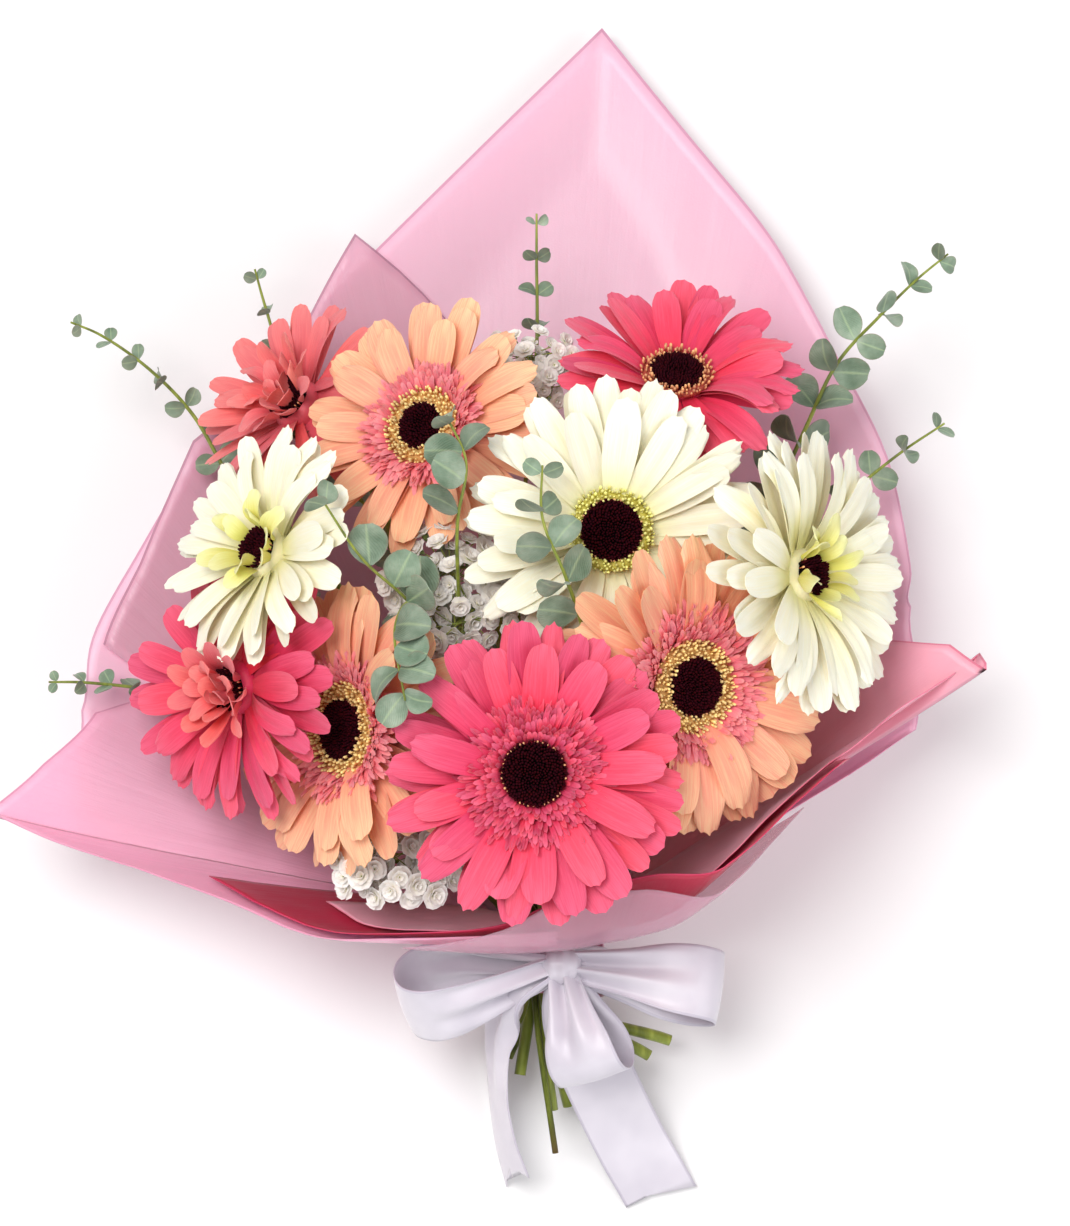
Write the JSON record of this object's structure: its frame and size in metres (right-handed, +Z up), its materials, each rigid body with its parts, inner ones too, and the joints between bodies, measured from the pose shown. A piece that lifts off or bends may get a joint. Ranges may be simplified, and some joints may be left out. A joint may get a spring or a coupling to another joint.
{
  "type": "gerbera bouquet",
  "caption": "Bouquet of gerberas with eucalyptus and gypsophila in a flared paper and film wrap, tied with a satin bow, lying on its back.",
  "frame": {"origin": "middle of the bounding box, at the height of the surface it lies on", "axes": "+Y along the stems towards the heads, +Z up, the way the blooms face, +X to the right as seen from the front"},
  "size_m": [0.3702, 0.4622, 0.1487],
  "materials": {
    "paper_pink": "satin",
    "paper_crimson": "satin",
    "film": "frosted, half clear",
    "satin": "satin",
    "twine": "matte",
    "stem": "satin",
    "petal_hot_pink": "soft",
    "petal_cream": "soft",
    "petal_peach": "soft",
    "petal_coral": "soft",
    "eye": "matte",
    "pollen": "matte",
    "floret_pink": "soft",
    "floret_yellow": "soft",
    "floret_coral": "soft",
    "leaf": "matte",
    "gypsophila": "matte"
  },
  "bodies": {
    "root": {"paper_right": "paper_pink", "crimson_sheet": "paper_crimson", "paper_left": "paper_pink", "film_front": "film", "film_lining": "film", "paper_back": "paper_pink", "ribbon_band": "satin", "ribbon_bow": "satin", "stem_binding": "twine", "gerbera_01_stem": "stem", "gerbera_01_eye": "eye", "gerbera_01_rays": "petal_hot_pink", "gerbera_02_stem": "stem", "gerbera_02_eye": "eye", "gerbera_02_gold_ring": "pollen", "gerbera_02_rays": "petal_cream", "gerbera_03_stem": "stem", "gerbera_03_eye": "eye", "gerbera_03_gold_ring": "pollen", "gerbera_03_pink_ring": "floret_pink", "gerbera_03_rays": "petal_peach", "gerbera_04_stem": "stem", "gerbera_04_eye": "eye", "gerbera_04_rays": "petal_cream", "gerbera_04_inner_rays": "floret_yellow", "gerbera_05_stem": "stem", "gerbera_05_eye": "eye", "gerbera_05_gold_ring": "pollen", "gerbera_05_pink_ring": "floret_pink", "gerbera_05_rays": "petal_peach", "gerbera_06_stem": "stem", "gerbera_06_eye": "eye", "gerbera_06_rays": "petal_cream", "gerbera_06_inner_rays": "floret_yellow", "gerbera_07_stem": "stem", "gerbera_07_eye": "eye", "gerbera_07_gold_ring": "pollen", "gerbera_07_pink_ring": "floret_pink", "gerbera_07_rays": "petal_peach", "gerbera_08_stem": "stem", "gerbera_08_eye": "eye", "gerbera_08_gold_ring": "pollen", "gerbera_08_rays": "petal_hot_pink", "gerbera_09_stem": "stem", "gerbera_09_eye": "eye", "gerbera_09_rays": "petal_hot_pink", "gerbera_09_inner_rays": "floret_coral", "gerbera_10_stem": "stem", "gerbera_10_eye": "eye", "gerbera_10_rays": "petal_coral", "eucalyptus_left": "leaf", "eucalyptus_top": "leaf", "eucalyptus_right": "leaf", "eucalyptus_centre": "leaf", "eucalyptus_front": "leaf", "gypsophila_top": "gypsophila", "gypsophila_middle": "gypsophila", "gypsophila_front": "gypsophila"}
  },
  "joints": []
}
